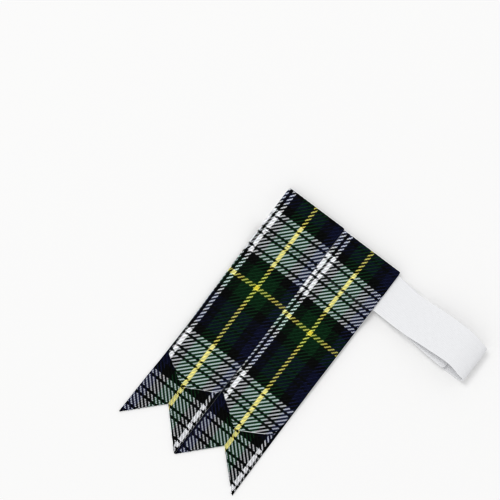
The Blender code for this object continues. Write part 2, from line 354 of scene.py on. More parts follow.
def cloth_mesh(name, middle, half, lift, bulge, materials):
    """A closed mesh round a grid of rows by columns. half is half the thickness, lift how far
    both faces are raised along the normal, bulge how far the rim stands out, all in metres.
    Returns the object, and for every face corner its row and column in the grid, and for every
    face whether it is on the inner side."""
    rows, columns = middle.shape[:2]
    normal = grid_normals(middle)
    outer = middle + normal * (lift + half)[..., None]
    inner = middle + normal * (lift - half)[..., None]
    row, column = np.indices((rows, columns))
    ring_row, ring_column = (
        np.concatenate([grid[0, :-1], grid[:-1, -1], grid[-1, :0:-1], grid[:0:-1, 0]])
        for grid in (row, column)
    )
    inward = np.clip(ring_row, 1, rows - 2), np.clip(ring_column, 1, columns - 2)
    away = unit(middle[ring_row, ring_column] - middle[inward])
    ring = (outer + inner)[ring_row, ring_column] / 2 + bulge * away
    points = np.concatenate([outer.reshape(-1, 3), inner.reshape(-1, 3), ring])
    count = rows * columns
    corner = (row[:-1, :-1] * columns + column[:-1, :-1]).ravel()
    top = np.stack([corner, corner + 1, corner + columns + 1, corner + columns], axis=1)
    loop = ring_row * columns + ring_column
    rim = 2 * count + np.arange(len(loop))
    after, rim_after = np.roll(loop, -1), np.roll(rim, -1)
    upper = np.stack([after, loop, rim, rim_after], axis=1)
    lower = np.stack([rim_after, rim, count + loop, count + after], axis=1)
    faces = np.concatenate([top, top[:, ::-1] + count, upper, lower])
    obj = make_piece(name, points, faces.tolist(), materials)
    grid_row = np.concatenate([row.ravel(), row.ravel(), ring_row])
    grid_column = np.concatenate([column.ravel(), column.ravel(), ring_column])
    on_inner = np.repeat([False, True, False], [len(top), len(top), 2 * len(loop)])
    return obj, grid_row[faces], grid_column[faces], on_inner


def add_map(obj, name, corners):
    """A UV map from one pair of numbers for each face corner."""
    layer = obj.data.uv_layers.new(name=name)
    layer.data.foreach_set("uv", np.asarray(corners, np.float32).ravel())


# %% [markdown]
# ## The two tabs
#
# The rows of a tab's grid start at the front's point, climb to the top, go half round the fold
# and run down the back to the swallowtail. The step between rows is about one weft thread, and
# the step across about one warp thread, so the mesh can carry the ribs of the twill as a real
# relief: a wave of four threads that runs aslant over the cloth. Near an edge the rows and
# columns lie closer together, at EDGE_THREADS from it, and the cloth thins to EDGE_SHARES of its
# thickness, so that the edge is round.
#
# A seam in black thread, level with the garter's lower edge, holds the front, the back and the
# elastic together. It pulls a shallow dent into both faces. SEAM gives how far below the top it
# runs at a tab's left and right side.
#
# A second map counts threads from the tab's left side. On the right tab's back layer the warp is
# drawn on top throughout in a narrow band along that side, so that only the warp's colour shows
# there, and the map's other number says how many threads wide the band is.

# %% Tab sizes
SEAM = {"left": (0.02910, 0.02925), "right": (0.02960, 0.03015)}
SEAM_DENT = 0.00026
SEAM_DENT_REACH = 0.00055
THREAD = 0.00068
ROW_STEP = 0.00073
CLOTH_HALF = 0.00048
TAB_RIM = 0.00014
TWILL_REPEAT = 4
RIB = 0.00007
RIB_CREST = 0.5
FOLD_STEPS = 14
INSIDE_COLUMNS = 57
EDGE_THREADS = np.array([0, 0.25, 0.75, 1.5, 2.5])
EDGE_SHARES = (0.55, 0.86, 0.97, 1.0)
WARP_BAND_THREADS = {"left": 0.0, "right": 1.7}

# %% Tab surfaces


def tab_grid(side):
    """The middle surface of a tab, the threads at its points, once counted for the front and
    once for the back, the row at which the back begins, and the shares across the tab."""
    edge = EDGE_THREADS * THREAD / TAB_WIDTH
    inside = np.linspace(edge[-1], 1 - edge[-1], INSIDE_COLUMNS)
    across = np.concatenate([edge[:-1], inside[: INSIDE_COLUMNS // 2], [0.5]])
    across = np.concatenate([across, 1 - across[-2::-1]])
    layers = {}
    for layer, length in LAYER_LENGTH.items():
        last = EDGE_THREADS[::-1] * THREAD / length
        down = np.linspace(0, 1 - last[0] - THREAD / length, round(length / ROW_STEP))
        down, columns = np.meshgrid(np.concatenate([down, 1 - last]), across, indexing="ij")
        x, y = layer_points(side, layer, down, columns)
        layers[layer] = np.stack([x, y, layer_height(layer, y)], axis=-1)
    front, back = layers["front"][::-1], layers["back"]
    share = np.linspace(0, 1, FOLD_STEPS + 1)[1:-1, None]
    turn = np.pi * share
    fold_x = (1 - share) * front[-1, :, 0] + share * back[0, :, 0]
    fold_y = back[0, :, 1] + TAB_FOLD * np.sin(turn)
    fold_z = BACK_OVER + TAB_FOLD * (1 + np.cos(turn)) + 0 * fold_x
    middle = np.concatenate([front, np.stack([fold_x, fold_y, fold_z], axis=-1), back])
    joint = len(front) + FOLD_STEPS - 1
    way_round = np.concatenate([front[:, :, 1], front[-1, :, 1] + TAB_FOLD * turn])
    way_round = np.concatenate([way_round, way_round[-1:] + TAB_FOLD * np.pi / FOLD_STEPS])
    face = thread_counts(side, "front", middle[: joint + 1, :, 0], way_round)
    reverse = thread_counts(side, "back", back[:, :, 0], back[:, :, 1])
    return middle, face, reverse, joint, across


def seam_depth(side, x):
    """How far below the top the seam runs at x."""
    return np.interp(x - TAB_START[side], [0, TAB_WIDTH], SEAM[side])


def flat_area(middle):
    """The area of a grid's four-sided cells: one step down, crossed with one step across."""
    down, across = np.diff(middle, axis=0)[:, :-1], np.diff(middle, axis=1)[:-1]
    return float(np.linalg.norm(np.cross(down, across), axis=-1).sum())


# %% Tab pieces


def make_tab(side, face_cloth, reverse_cloth):
    """A tab's object and its flat area in square metres."""
    middle, face, reverse, joint, across = tab_grid(side)
    rows, columns = middle.shape[:2]
    row, column = np.indices((rows, columns))
    inward = np.minimum(np.minimum(row, rows - 1 - row), np.minimum(column, columns - 1 - column))
    half = CLOTH_HALF * np.interp(inward, range(len(EDGE_SHARES)), EDGE_SHARES)
    rib = RIB * np.interp(inward, [0, len(EDGE_SHARES) - 1], [0.0, 1.0])
    counts = np.concatenate([face[:-1], reverse]).sum(-1)
    from_seam = -middle[:, :, 1] - seam_depth(side, middle[:, :, 0])
    lift = rib * np.cos(2 * np.pi / TWILL_REPEAT * (counts - RIB_CREST))
    lift = lift - SEAM_DENT * np.exp(-((from_seam / SEAM_DENT_REACH) ** 2))
    obj, corner_row, corner_column, on_inner = cloth_mesh(
        side + "_tab_cloth", middle, half, lift, TAB_RIM, [face_cloth, reverse_cloth]
    )
    on_back = corner_row.min(axis=1) >= joint
    as_front = face[np.clip(corner_row, 0, joint), corner_column]
    as_back = reverse[np.clip(corner_row - joint, 0, None), corner_column]
    add_map(obj, "threads", np.where(on_back[:, None, None], as_back, as_front))
    from_side = across[corner_column] * TAB_WIDTH / THREAD
    warp_band = WARP_BAND_THREADS[side] * on_back[:, None] + 0 * from_side
    add_map(obj, "side_band", np.stack([from_side, warp_band], axis=-1))
    obj.data.polygons.foreach_set("material_index", on_inner.astype(np.int32))
    area = flat_area(middle)
    print(obj.name, "-", len(obj.data.polygons), "faces,", round(1e4 * area, 1), "cm2 of cloth")
    return obj, area


# %% [markdown]
# ## Node maths that reads as sums
#
# A material is worked out by many small Math nodes. A Wire stands for what leaves one of them,
# and adding, taking away or multiplying wires makes the next node, so the formulas below can be
# read as they are written. An input that stays a plain number is set on its own socket.

# %% Wires between nodes


class Wire:
    """A value that leaves a node."""

    def __init__(self, tree, socket):
        self.tree, self.socket = tree, socket

    def __add__(self, other):
        return maths("ADD", self, other)

    def __sub__(self, other):
        return maths("SUBTRACT", self, other)

    def __rsub__(self, other):
        return maths("SUBTRACT", other, self)

    def __mul__(self, other):
        return maths("MULTIPLY", self, other)


def plug(value, socket):
    """Lead a wire to a socket, or set the socket to a plain number or colour."""
    if isinstance(value, Wire):
        value.tree.links.new(value.socket, socket)
    elif isinstance(value, tuple):
        socket.default_value = (*value, 1)[: len(socket.default_value)]
    else:
        socket.default_value = value


def grown(kind, values, output=0, **settings):
    """What leaves a new node. values go to its inputs, by number or by name."""
    tree = next(value.tree for value in values.values() if isinstance(value, Wire))
    node = tree.nodes.new("ShaderNode" + kind)
    for name, setting in settings.items():
        setattr(node, name, setting)
    for name, value in values.items():
        plug(value, node.inputs[name])
    return Wire(tree, node.outputs[output])


def maths(operation, *values):
    """A Math node's result. Each value is a number or a wire."""
    return grown("Math", dict(enumerate(values)), operation=operation)


# %% Kinds of node


def choose(share, low, high):
    """low + share x (high - low)."""
    return maths("MULTIPLY_ADD", share, high - low, low)


def mixed(operation, share, first, second):
    """A colour Mix node's result. Its colours are sockets 6 and 7, and leave by socket 2."""
    values = {0: share, 6: first, 7: second}
    return grown("Mix", values, 2, data_type="RGBA", blend_type=operation)


def shaded(colour, amount):
    """A colour times a number."""
    return grown("VectorMath", {0: colour, "Scale": amount}, operation="SCALE")


def lightness(colour):
    """One number for how light a colour is."""
    return grown("RGBToBW", {0: colour})


def noise(place, scale, detail, roughness=0.5):
    """Soft noise over a place, about 0.5, from a few sizes of blotch at once."""
    values = {"Vector": place, "Scale": scale, "Detail": detail, "Roughness": roughness}
    return grown("TexNoise", values, "Fac")


def counted(tree, name):
    """A UV map of the piece as a place, and its two numbers."""
    node = tree.nodes.new("ShaderNodeUVMap")
    node.uv_map = name
    place = Wire(tree, node.outputs[0])
    return place, *(grown("SeparateXYZ", {0: place}, axis) for axis in ("X", "Y"))


def blank(name):
    """A new material and its shader."""
    material = bpy.data.materials.new(name)
    material.use_nodes = True
    return material, material.node_tree.nodes["Principled BSDF"]


def fit(node, **values):
    """Set or link a node's inputs by their names, with _ for a space."""
    for name, value in values.items():
        plug(value, node.inputs[name.replace("_", " ")])


def relief(shader, height, strength, depth):
    """A bump on the shader from a height, so many metres deep."""
    values = {"Height": height, "Strength": strength, "Distance": depth}
    fit(shader, Normal=grown("Bump", values))


# %% [markdown]
# ## A tartan that is worked out, not printed
#
# The sett is charted from the cloth, as a weaver would: a colour and a number of threads.
# A colour ramp with sharp stops turns a thread's place in the sett into its colour. In a 2/2
# twill each thread passes over two and under two, one thread further along in every row. So with
# i the warp thread and j the weft thread, the warp is on top where (i + j) mod 4 is 0 or 1. The
# reverse of the cloth shows the other one of the pair.

# %% Sett and yarn colours
SETT = [
    ("white", 10), ("black", 2), ("white", 4), ("black", 8), ("green", 12),
    ("yellow", 4), ("green", 12), ("black", 8), ("blue", 10), ("black", 2),
    ("blue", 4), ("black", 2), ("blue", 10), ("black", 8), ("white", 4),
    ("black", 2), ("white", 10), ("black", 2), ("white", 4), ("black", 2),
]
SETT_THREADS = sum(count for _, count in SETT)
YARN = {
    "white": (0.88, 0.89, 0.92),
    "black": (0.0040, 0.0050, 0.0045),
    "green": (0.0062, 0.0325, 0.0116),
    "blue": (0.0095, 0.0120, 0.0360),
    "yellow": (0.88, 0.80, 0.150),
}
YARN_CAST = {
    "white": (1.0, 1.0, 1.0),
    "black": (0.78, 0.78, 0.79),
    "green": (0.70, 0.88, 0.82),
    "blue": (0.66, 0.69, 0.83),
    "yellow": (1.0, 0.98, 0.42),
}
HAIR_REACH = 0.35
print("The sett has", SETT_THREADS, "threads in", len(SETT), "stripes")


def sett_ramp(thread, colours):
    """The colour of a thread: its number over the sett's length, through a stepped ramp."""
    ramp = thread.tree.nodes.new("ShaderNodeValToRGB")
    ramp.color_ramp.interpolation = "CONSTANT"
    stops = ramp.color_ramp.elements
    starts = np.cumsum([0] + [count for _, count in SETT[:-1]]) / SETT_THREADS
    for index, (start, (colour, _)) in enumerate(zip(starts.tolist(), SETT)):
        stop = stops[index] if index < 2 else stops.new(start)
        stop.position = start
        stop.color = (*colours[colour], 1)
    plug(maths("FRACT", maths("DIVIDE", thread + 0.5, SETT_THREADS)), ramp.inputs[0])
    return Wire(ramp.id_data, ramp.outputs[0])


def squeezed(thread, colours):
    """A warp thread's colour, but near its sides the darker one of it and its neighbour, whose
    hairs lie over it."""
    reach = (-HAIR_REACH, HAIR_REACH)
    sides = [sett_ramp(maths("FLOOR", thread + shift), colours) for shift in reach]
    return mixed("DARKEN", 1.0, *sides)


# %% [markdown]
# ## From flat stripes to yarn
#
# Each visible piece of a thread, a float, is two threads long. Its height is round both across
# the yarn and along the float, and that same roundness drives the bump and paints shade into the
# gaps between yarns: painted shade that is strong unless both crossing yarns are light. Light
# yarn also takes on some of the colour of the dark yarn that crosses it, because wool is
# translucent and hairy, so white over green looks like mint; the darkening that comes with it is
# partly painted shade: YARN_CAST says what the crossing yarn leaves of the light.
#
# On this cloth the warp's floats catch more light than the weft's, most of all in dark yarn. The
# dye has taken unevenly too, in soft blotches a few threads wide, and those show in dark yarn.
# HIGH_WARP and DYE_BLOTCH give how much, for dark and for light yarn.

# %% Yarn in a twill
OVER = 2
ROUND_LIMIT = 1.02
FLOAT_DROOP = 0.55


def repeat(count):
    """A number of threads, counted within the twill's repeat."""
    return maths("FLOORED_MODULO", count, TWILL_REPEAT)


def twill(warp, weft, turn, warp_band):
    """The numbers of the warp and the weft thread, 1 where the warp is on top and 0 where the
    weft is, and a point's place on that float: -1 to 1 along it, and -1 to 1 across it. turn
    shifts the repeat, and where crowded is 1 the warp is on top throughout."""
    end, pick = maths("FLOOR", warp), maths("FLOOR", weft)
    warp_up = maths("LESS_THAN", repeat(end + pick + turn), OVER)
    warp_up = maths("MAXIMUM", warp_up, warp_band)
    warp_length = maths("MINIMUM", repeat(end + weft + turn) - 1, 1)
    weft_length = repeat(warp + pick + turn) - (OVER + 1)
    length = choose(warp_up, weft_length, warp_length)
    aside = choose(warp_up, *(maths("FRACT", thread) * 2 - 1 for thread in (weft, warp)))
    return end, pick, warp_up, length, aside


def float_roundness(length, aside):
    """Round across the yarn, as the root of 1.02 - a^2, and along it 1 - 0.55 l^4."""
    squared = length * length
    return maths("SQRT", ROUND_LIMIT - aside * aside) * (1 - squared * squared * FLOAT_DROOP)


# %% Tartan finish
WEFT_NUMBERS = 500
SHOWS_THROUGH = 0.15
# How strong and how dark the painted shade in the gaps between yarns is
GAP_SHADE_POWER = 2.2
GAP_SHADE_FLOOR = 0.02
YARN_LIGHT = (0.92, 1.04)
HAIR_LIGHT = (0.72, 1.32)
HAIR_HEIGHT = 0.5
HEATHER = dict(scale=1.7, detail=4, roughness=0.65)
HIGH_WARP = (0.6, 0.26)
DYE_BLOTCH = (2.0, 0.1)
BLOTCHES = dict(scale=0.45, detail=2)
TWIST_ALONG, TWIST_ACROSS, TWIST_HEIGHT = 7.5, 2.6, 0.07
# The reverse of the cloth is drawn 0.8 times as light as the right side, all over
REVERSE_BRIGHTNESS = 0.80
WOOL_ROUGHNESS = (0.84, 0.96)

# %% Tartan material


def tartan_colour(end, pick, warp, warp_up):
    """The colour that shows, how light the yarn on top is, and that times how light the yarn
    below is. The yarn below shows through a little where both are light."""
    warp_colour, weft_colour = sett_ramp(end, YARN), sett_ramp(pick, YARN)
    own = mixed("MIX", warp_up, weft_colour, squeezed(warp, YARN))
    under = mixed("MIX", warp_up, warp_colour, weft_colour)
    cast = mixed("MIX", warp_up, sett_ramp(end, YARN_CAST), sett_ramp(pick, YARN_CAST))
    own_light = lightness(own)
    both_light = own_light * lightness(under)
    colour = mixed("MIX", both_light * SHOWS_THROUGH, own, under)
    return mixed("MULTIPLY", 1.0, colour, cast), own_light, both_light


def tartan(name, turn):
    """The twill. turn is 0 for the right side of the cloth, and 2 for its reverse."""
    material, shader = blank(name)
    place, warp, weft = counted(material.node_tree, "threads")
    _, from_side, warp_band_threads = counted(material.node_tree, "side_band")
    # Within the band along the tab's left side the warp is on top throughout
    warp_band = maths("LESS_THAN", from_side, warp_band_threads)
    end, pick, warp_up, length, aside = twill(warp, weft, turn, warp_band)
    colour, own_light, both_light = tartan_colour(end, pick, warp, warp_up)

    roundness = float_roundness(length, aside)
    # Painted shade in the gaps between yarns: a power of the roundness, strong unless both yarns
    # are light
    depth = GAP_SHADE_POWER - both_light * GAP_SHADE_POWER
    gap_shade = maths("POWER", maths("MAXIMUM", roundness, GAP_SHADE_FLOOR), depth)
    yarn = {"W": choose(warp_up, pick + WEFT_NUMBERS, end)}
    own_number = grown("TexWhiteNoise", yarn, "Value", noise_dimensions="1D")
    above = (warp_up - 0.5) * choose(own_light, *HIGH_WARP)
    dye = (noise(place, **BLOTCHES) - 0.5) * choose(own_light, *DYE_BLOTCH)
    uneven = choose(own_number, *YARN_LIGHT) * (above + 1 + dye)
    heather = noise(place, **HEATHER)
    hairy = choose(heather, *HAIR_LIGHT) * (REVERSE_BRIGHTNESS if turn else 1.0)
    fit(shader, Base_Color=shaded(colour, gap_shade * uneven * hairy))

    twist = maths("SINE", length * TWIST_ALONG + aside * TWIST_ACROSS)
    height = twist * TWIST_HEIGHT + roundness + heather * HAIR_HEIGHT
    relief(shader, height, strength=0.55, depth=0.00016)
    fit(shader, Roughness=choose(heather, *WOOL_ROUGHNESS), Specular_IOR_Level=0.03)
    fit(shader, Sheen_Weight=0.01, Sheen_Roughness=0.5)
    return material


face_cloth = tartan("Tartan wool, right side", 0)
reverse_cloth = tartan("Tartan wool, reverse", 2)
print("Tartan nodes:", len(face_cloth.node_tree.nodes))

# %% Make the tabs
tabs, tab_area = {}, {}
for side in ("left", "right"):
    tabs[side], tab_area[side] = make_tab(side, face_cloth, reverse_cloth)
    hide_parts(side + "_tab")

# %% [markdown]
# ## Cut ends that fray
#
# The points and the swallowtails are cut on the slant and aren't hemmed, so yarn ends stand a
# fraction of a millimetre out of them. Each one is a small tapered strand, and the thread counts
# at its root say whether it is a warp or a weft end, which way it points and what colour it is.
# Along the right side of each point a white weft yarn has come loose and lies on the edge: it
# takes the colour where two white stripes cross, WHITE_YARN.

# %% Tubes


def tube_faces(sides, rings):
    """The four-sided faces between the neighbouring rings of a tube, and its two caps."""
    each = np.arange(sides)
    after, start = np.roll(each, -1), np.arange(rings - 1)[:, None] * sides
    walls = [start + each, start + after, start + sides + after, start + sides + each]
    caps = np.stack([each[::-1], each + (rings - 1) * sides])
    return np.stack(walls, axis=-1).reshape(-1, 4), caps


def tubes(paths, radii, sides):
    """Tubes round many paths at once. paths is tubes by points by 3, radii tubes by points. Each
    ring stands square to its path: one axis is the path crossed with up, the other completes it.
    Returns all points and faces, each tube closed by a flat cap at both ends."""
    count, length = paths.shape[:2]
    ahead = unit(np.gradient(paths, axis=1))
    side = unit(np.cross(ahead, np.array([0.0, 0.0, 1.0]) + 0 * ahead))
    up = np.cross(side, ahead)
    angle = 2 * np.pi * np.arange(sides)[:, None] / sides
    ring = side[:, :, None] * np.cos(angle) + up[:, :, None] * np.sin(angle)
    points = paths[:, :, None] + radii[:, :, None, None] * ring
    offset = (np.arange(count) * length * sides)[:, None, None]
    walls, caps = tube_faces(sides, length)
    walls = (walls + offset).reshape(-1, 4).tolist()
    return points.reshape(-1, 3), walls + (caps + offset).reshape(-1, sides).tolist()


def joined(first, second):
    """Two sets of points and faces as one."""
    (points, faces), (more, more_faces) = first, second
    moved = [[index + len(points) for index in face] for face in more_faces]
    return np.concatenate([points, more]), faces + moved


# %% Sizes of the frayed yarn
CUT_SAMPLES = 400
HALVES = ((0.01, 0.5), (0.5, 0.99))
STRAND_STEP = 0.00042
STRAND_ROOT = 0.00022
STRAND_SPREAD = 0.00022
STRAND_REACH = (0.00022, 0.00062)
STRAND_RADIUS = (0.00009, 0.00015)
LONGER, LONG_SHARE = 0.5, 0.1
LEAN, STRAY, CURL = 0.8, 0.5, 0.35
STRAY_WAYS = (1, 1, 0.25)
STRAND_SIDES = 4
STRAND_SHARES = np.array([0.0, 0.45, 0.8, 1.0])
STRAND_TAPER = np.array([1.0, 0.92, 0.62, 0.18])
LOOSE_SPAN = {"left": (0.52, 0.985), "right": (0.58, 0.90)}
LOOSE_STEP = 0.0004
LOOSE_WANDER = 0.00002
LOOSE_OUT = 0.00005
LOOSE_HEIGHT = 0.45
LOOSE_RADIUS = 0.00018
LOOSE_SIDES = 8
LOOSE_TAPER = 0.3
LOOSE_TIPS = (0.06, 0.94)
WHITE_YARN = (1.5, 245.5)
FIRST_SEED = 11

# %% Frayed yarn


def cut_edge(side, layer, start, stop, step):
    """Places along a layer's cut end between two shares across, a step apart: the points, the
    way along, the way out of the cloth and the thread counts."""
    across = np.linspace(start, stop, CUT_SAMPLES)
    x, y = layer_points(side, layer, np.ones(CUT_SAMPLES), across)
    run = np.concatenate([[0], np.cumsum(np.hypot(np.diff(x), np.diff(y)))])
    across = np.interp(np.arange(step / 2, run[-1], step), run, across)
    x, y = layer_points(side, layer, np.ones(len(across)), across)
    place = np.stack([x, y, layer_height(layer, y)], axis=-1)
    tangent = unit(np.gradient(place, axis=0))
    out = np.stack([tangent[:, 1], -tangent[:, 0], 0 * x], axis=-1)
    return place, tangent, out, thread_counts(side, layer, x, y)


def yarn_ends(side, layer, half, chance):
    """The paths of the strands along half of a cut end, and the middles of their threads' cells.
    A warp end points down and a weft end aside, more or less, and each one curls a little."""
    place, tangent, out, threads = cut_edge(side, layer, *half, STRAND_STEP)
    count, cell = len(place), np.floor(threads)
    is_warp = np.mod(cell.sum(-1), TWILL_REPEAT) < OVER
    lean = np.where(is_warp[:, None], (0, -1, 0), np.sign(out[:, :1]) * (1, 0, 0))
    heading = unit(out + LEAN * lean + STRAY * chance.normal(size=out.shape) * STRAY_WAYS)
    reach = chance.uniform(*STRAND_REACH, count)
    reach = reach * (1 + LONGER * (chance.random(count) > 1 - LONG_SHARE))
    raised = chance.uniform(-STRAND_SPREAD, STRAND_SPREAD, (count, 1)) * (0, 0, 1)
    root = place - STRAND_ROOT * out + raised
    curl = CURL * chance.normal(size=(count, 1)) * tangent
    share = STRAND_SHARES[None, :, None]
    bend = heading[:, None] * share + curl[:, None] * share**2
    return root[:, None] + bend * (reach[:, None, None] + STRAND_ROOT), cell + 0.5


def loose_yarn(side, chance):
    """The tube of the yarn that has come loose on the right side of the front's point."""
    place, _, out, _ = cut_edge(side, "front", *LOOSE_SPAN[side], LOOSE_STEP)
    wander = np.cumsum(chance.normal(size=len(place))) * LOOSE_WANDER
    wander = wander - np.linspace(wander[0], wander[-1], len(wander))
    raised = np.array([0, 0, CLOTH_HALF * LOOSE_HEIGHT])
    line = place + (LOOSE_OUT + wander)[:, None] * out + raised
    width = LOOSE_RADIUS * np.sin(np.pi * np.linspace(*LOOSE_TIPS, len(line))) ** LOOSE_TAPER
    return tubes(line[None], width[None], LOOSE_SIDES)


# %% Make the fray


def make_fray(side, material, chance):
    """All the loose yarn of one tab, as one object."""
    ends = [yarn_ends(side, layer, half, chance) for layer in LAYER_LENGTH for half in HALVES]
    paths, cells = (np.concatenate(part) for part in zip(*ends))
    radii = STRAND_TAPER * chance.uniform(*STRAND_RADIUS, (len(paths), 1))
    loose = loose_yarn(side, chance)
    points, faces = joined(tubes(paths, radii, STRAND_SIDES), loose)
    obj = make_piece(side + "_tab_fray", points, faces, [material])
    wall_corners = 4 * STRAND_SIDES * (len(STRAND_SHARES) - 1)
    corners = [np.repeat(cells, count, axis=0) for count in (wall_corners, 2 * STRAND_SIDES)]
    corners.append(np.tile(WHITE_YARN, (sum(map(len, loose[1])), 1)))
    add_map(obj, "threads", np.concatenate(corners))
    print(obj.name, "-", len(paths), "strands,", len(faces), "faces")
    return obj


for seed, side in enumerate(("left", "right")):
    make_fray(side, face_cloth, np.random.default_rng(seed + FIRST_SEED))

# %% [markdown]
# ## The seam below the garter
#
# A lockstitch shows as a row of short stitches on both sides, with the two threads linked inside
# the cloth. Each stitch is one small tube that rises out of a needle hole and dives into the
# next, and a thin leg runs through the layers at each hole.

# %% Seam
STITCH = 0.0025
STITCH_GAP = 0.04
SEAM_INSET = (0.0009, 0.0006)
SEAM_THREAD = 0.00019
THREAD_STANDS = 0.3 * SEAM_THREAD
STITCH_RISE = 0.0004
STITCH_POINTS = 11
STITCH_SIDES, LEG_SIDES = 8, 5
LEG_THREAD = 0.00012
LEG_SHORT = 0.0002
LEG_LEAN = 0.00002


def make_seam(side, material):
    """Arches on the front's face and the back's reverse, and the legs between them. An arch's
    height is the fourth root of 1 - (2t - 1)^4, which is flat on top and steep at both ends."""
    start, stop = TAB_START[side] + SEAM_INSET[0], TAB_START[side] + TAB_WIDTH - SEAM_INSET[1]
    holes = np.arange(start, stop, STITCH)
    t = np.linspace(0, 1, STITCH_POINTS)
    x = holes[:-1, None] + STITCH * (STITCH_GAP + (1 - 2 * STITCH_GAP) * t)
    y = -seam_depth(side, x)
    drop = STITCH_RISE * (1 - (1 - (2 * t - 1) ** 4) ** 0.25)
    face = CLOTH_HALF - SEAM_DENT + THREAD_STANDS
    arches = [
        np.stack([x, y, layer_height(layer, y) + way * (face - drop)], axis=-1)
        for layer, way in (("front", 1), ("back", -1))
    ]
    radii = np.full((2 * len(x), STITCH_POINTS), SEAM_THREAD)
    arches = tubes(np.concatenate(arches), radii, STITCH_SIDES)
    y = -seam_depth(side, holes)
    low = np.stack([holes, y, layer_height("back", y) + LEG_SHORT], axis=-1)
    high = np.stack([holes + LEG_LEAN, y, layer_height("front", y) - LEG_SHORT], axis=-1)
    radii = np.full((len(holes), 2), LEG_THREAD)
    legs = tubes(np.stack([low, high], axis=1), radii, LEG_SIDES)
    points, faces = joined(arches, legs)
    obj = make_piece(side + "_tab_seam", points, faces, [material])
    print(obj.name, "-", len(holes) - 1, "stitches,", len(faces), "faces")
    return obj


# %% Thread finish
FINE_LINES = {"Scale": 900, "Distortion": 1.5}


def fine_lines(name, bands, dark, light, strength, depth):
    """A material with fine wavy lines in Object coordinates as a bump, and two tones that follow
    it:
    painted shade in its hollows and a painted highlight on its crests.
    """
    material, shader = blank(name)
    tree = material.node_tree
    place = Wire(tree, tree.nodes.new("ShaderNodeTexCoord").outputs["Object"])
    height = grown("TexWave", {"Vector": place, **FINE_LINES}, "Fac", bands_direction=bands)
    fit(shader, Base_Color=mixed("MIX", height, dark, light))
    relief(shader, height, strength, depth)
    return material, shader


def sewing_thread(name):
    """Black spun thread: slanting plies as a bump, and a little grey where they catch light."""
    dark, light = (0.004, 0.004, 0.005), (0.022, 0.022, 0.025)
    material, shader = fine_lines(name, "DIAGONAL", dark, light, strength=0.5, depth=0.00006)
    fit(shader, Roughness=0.6, Specular_IOR_Level=0.25)
    return material


black_thread = sewing_thread("Black sewing thread")
for side in ("left", "right"):
    make_seam(side, black_thread)

# %% [markdown]
# ## The elastic garter
#
# One strip of inch-wide elastic: from its outer end, a little way right of the tabs, it runs out
# to the far fold, back between the tabs' layers to a tight fold at the left, and out again below
# the back layers to its inner end inside the loop. The middle line of that route is worked out
# in the XZ plane, and two tables give how far the strip drifts and narrows as seen from above.
#
# The far fold isn't half a circle. Its lower half is a quarter circle and its upper half a
# quarter of an ellipse, LOOP_FALL long, so that the top falls away gently to the end.
#
# Woven elastic has fine ribs along its length, where the rubber cords lie, and a plain edge. The
# ribs are real waves in the mesh: the strip's faces rise and sink along each row.

# %% Garter sizes
LOOP_REACH = 0.0690
LOOP_HEIGHT = 0.0110
LOOP_FALL = 0.0125
INNER_END_BACK = 0.0136
OVERLAP = 0.0376
OVERLAP_RISE = 0.0135
END_CORNER = 0.0024
FREE_ROOM = 0.035
RISE_STEPS, FALL_STEPS, NEAR_STEPS = 13, 26, 12
PAD_LENGTH = 0.0300
PAD_WIDTH = 0.0190
PAD_THICKNESS = 0.0012
TABS_RIGHT = TAB_PITCH + TAB_WIDTH
LOOP_END = TABS_RIGHT + LOOP_REACH
LOOP_RADIUS = (LOOP_HEIGHT - GARTER_CLOTH) / 2
FOLD_END = LOOP_END - GARTER_CLOTH / 2
LOOP_CENTRE = FOLD_END - LOOP_RADIUS
FALL_START = FOLD_END - LOOP_FALL
FREE_START = TABS_RIGHT + FREE_ROOM * TAB_WIDTH
INNER_END = LOOP_END - INNER_END_BACK
OUTER_END = INNER_END - OVERLAP
RISE_END = OUTER_END - GARTER_CLOTH
PAD_MIDDLE = GARTER_CLOTH + CLEARANCE + PAD_THICKNESS / 2
INNER_PLY = PAD_MIDDLE + PAD_THICKNESS / 2 + CLEARANCE + GARTER_CLOTH / 2
LOOP_TOP = LOOP_HEIGHT - GARTER_CLOTH / 2
UPPER_RUN = table(
    "place drift width rise",
    (0.00, 0.019, 1.000, 0.000), (0.10, 0.040, 0.970, 0.070), (0.25, 0.063, 0.942, 0.245),
    (0.38, 0.056, 0.947, 0.410), (0.59, 0.019, 0.945, 0.680), (0.85, 0.002, 0.912, 0.940),
    (0.97, 0.042, 0.918, 0.995), (1.00, 0.072, 0.915, 1.000),
)
LOWER_RUN = table(
    "place drift width",
    (0.00, 0.019, 1.000), (0.19, 0.039, 0.965), (0.42, 0.079, 0.930),
    (0.62, 0.132, 0.925), (0.83, 0.167, 0.912), (1.00, 0.172, 0.915),
)
print("Loop radius, mm:", round(1000 * LOOP_RADIUS, 2))

# %% Garter line


def free_share(x):
    """The share of the way from the tabs to the far fold."""
    return (x - FREE_START) / (LOOP_CENTRE - FREE_START)


def garter_line(run, x):
    """The strip's middle line and width at x: half a width below its seat, and the drift."""
    under = UNDER_DRIFT * np.clip((x + GARTER_PEEP) / (FREE_START + GARTER_PEEP), 0, 1)
    drift = np.where(x < FREE_START, under, through(run, "drift", free_share(x)))
    width = GARTER_WIDTH * through(run, "width", free_share(x))
    drop = RIGHT_TAB_DROP * np.clip(x / TAB_PITCH, 0, 1)
    return -(GARTER_SEAT + drop + (0.5 + drift) * GARTER_WIDTH), width


def lower_height(x):
    """Flat on the table, then an S up over the pad."""
    return LOW_PLY + (INNER_PLY - LOW_PLY) * eased(RISE_END - OVERLAP_RISE, RISE_END, x)


def upper_height(x):
    """The climb from the tabs to the loop's top, never closer than a ply to what lies below."""
    rise, full_rise = (through(UPPER_RUN, "rise", free_share(at)) for at in (x, FALL_START))
    climb = HIGH_PLY + (LOOP_TOP - HIGH_PLY) * (rise / full_rise)
    return np.maximum(climb, lower_height(x) + GARTER_CLOTH + CLEARANCE)


# %% Garter route


